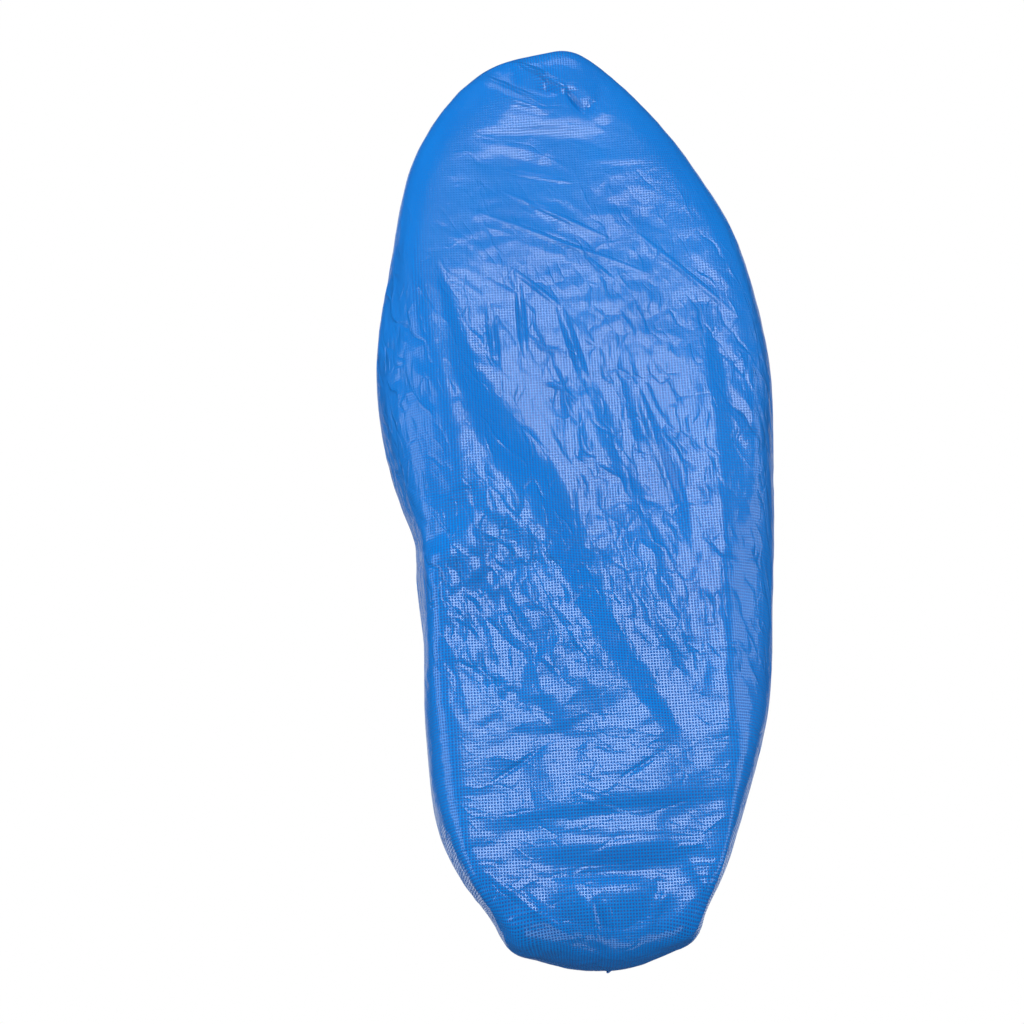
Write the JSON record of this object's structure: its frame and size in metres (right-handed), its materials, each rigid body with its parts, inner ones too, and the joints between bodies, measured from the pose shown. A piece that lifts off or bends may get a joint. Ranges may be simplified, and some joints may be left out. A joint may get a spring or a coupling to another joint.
{
  "type": "shoe cover",
  "caption": "Disposable shoe cover of embossed blue film, shaped as on a shoe, with a welded toe and heel seam and an elastic gathered opening.",
  "frame": {"origin": "inner face of the sole, under the middle of the foot, where the shoe stands", "axes": "+Z from the sole to the opening, +Y from toe to heel, +X to the wearer's left when worn"},
  "size_m": [0.1514, 0.3645, 0.1184],
  "materials": {
    "film": "thin embossed film, glossy, slightly translucent",
    "elastic": "matt latex-free elastic"
  },
  "bodies": {
    "root": {"film_shell": "film", "hem_casing": "film", "elastic_band": "elastic", "toe_seam": "film", "heel_seam": "film"}
  },
  "joints": []
}
